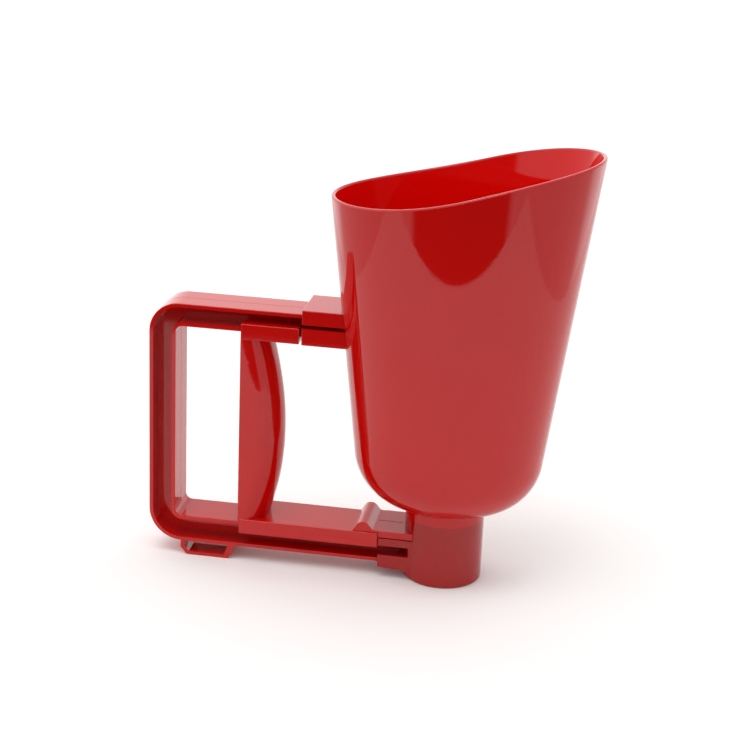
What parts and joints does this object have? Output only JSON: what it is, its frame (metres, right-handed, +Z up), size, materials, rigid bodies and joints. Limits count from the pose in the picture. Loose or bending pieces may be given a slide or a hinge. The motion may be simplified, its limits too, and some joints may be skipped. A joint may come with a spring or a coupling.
{
  "type": "flour dispenser",
  "caption": "Hand-held dispenser for flour or batter: scooped hopper cup, outlet barrel, D-shaped handle and a squeeze trigger that slides a flat gate open.",
  "frame": {"origin": "centre of the outlet barrel's lower rim, on the plane that the part stands on", "axes": "+Z up along the outlet barrel, towards the hopper's rim; -X towards the handle, so +X is the pouring side; +Y to the side that carries the return spring"},
  "size_m": [0.203, 0.0926, 0.2056],
  "materials": {
    "red_plastic": "polished injection-moulded red plastic",
    "handle_plastic": "gloss injection-moulded red plastic",
    "seal": "soft food-grade silicone",
    "steel": "drawn stainless wire and rod"
  },
  "bodies": {
    "body": {"hopper_cup": "red_plastic", "outlet_barrel": "red_plastic", "gate_seal": "seal", "handle_frame": "handle_plastic", "spring_rod": "steel", "return_spring": "steel"},
    "trigger": {"trigger": "handle_plastic", "gate_blade": "handle_plastic"}
  },
  "joints": [
    {"name": "trigger_slide", "type": "slide", "parent": "body", "child": "trigger", "axis": [-1, 0, 0], "range_m": [0, 0.026], "stiffness_N_per_m": 300, "springref_m": -0.02, "deforming": ["return_spring"]}
  ]
}
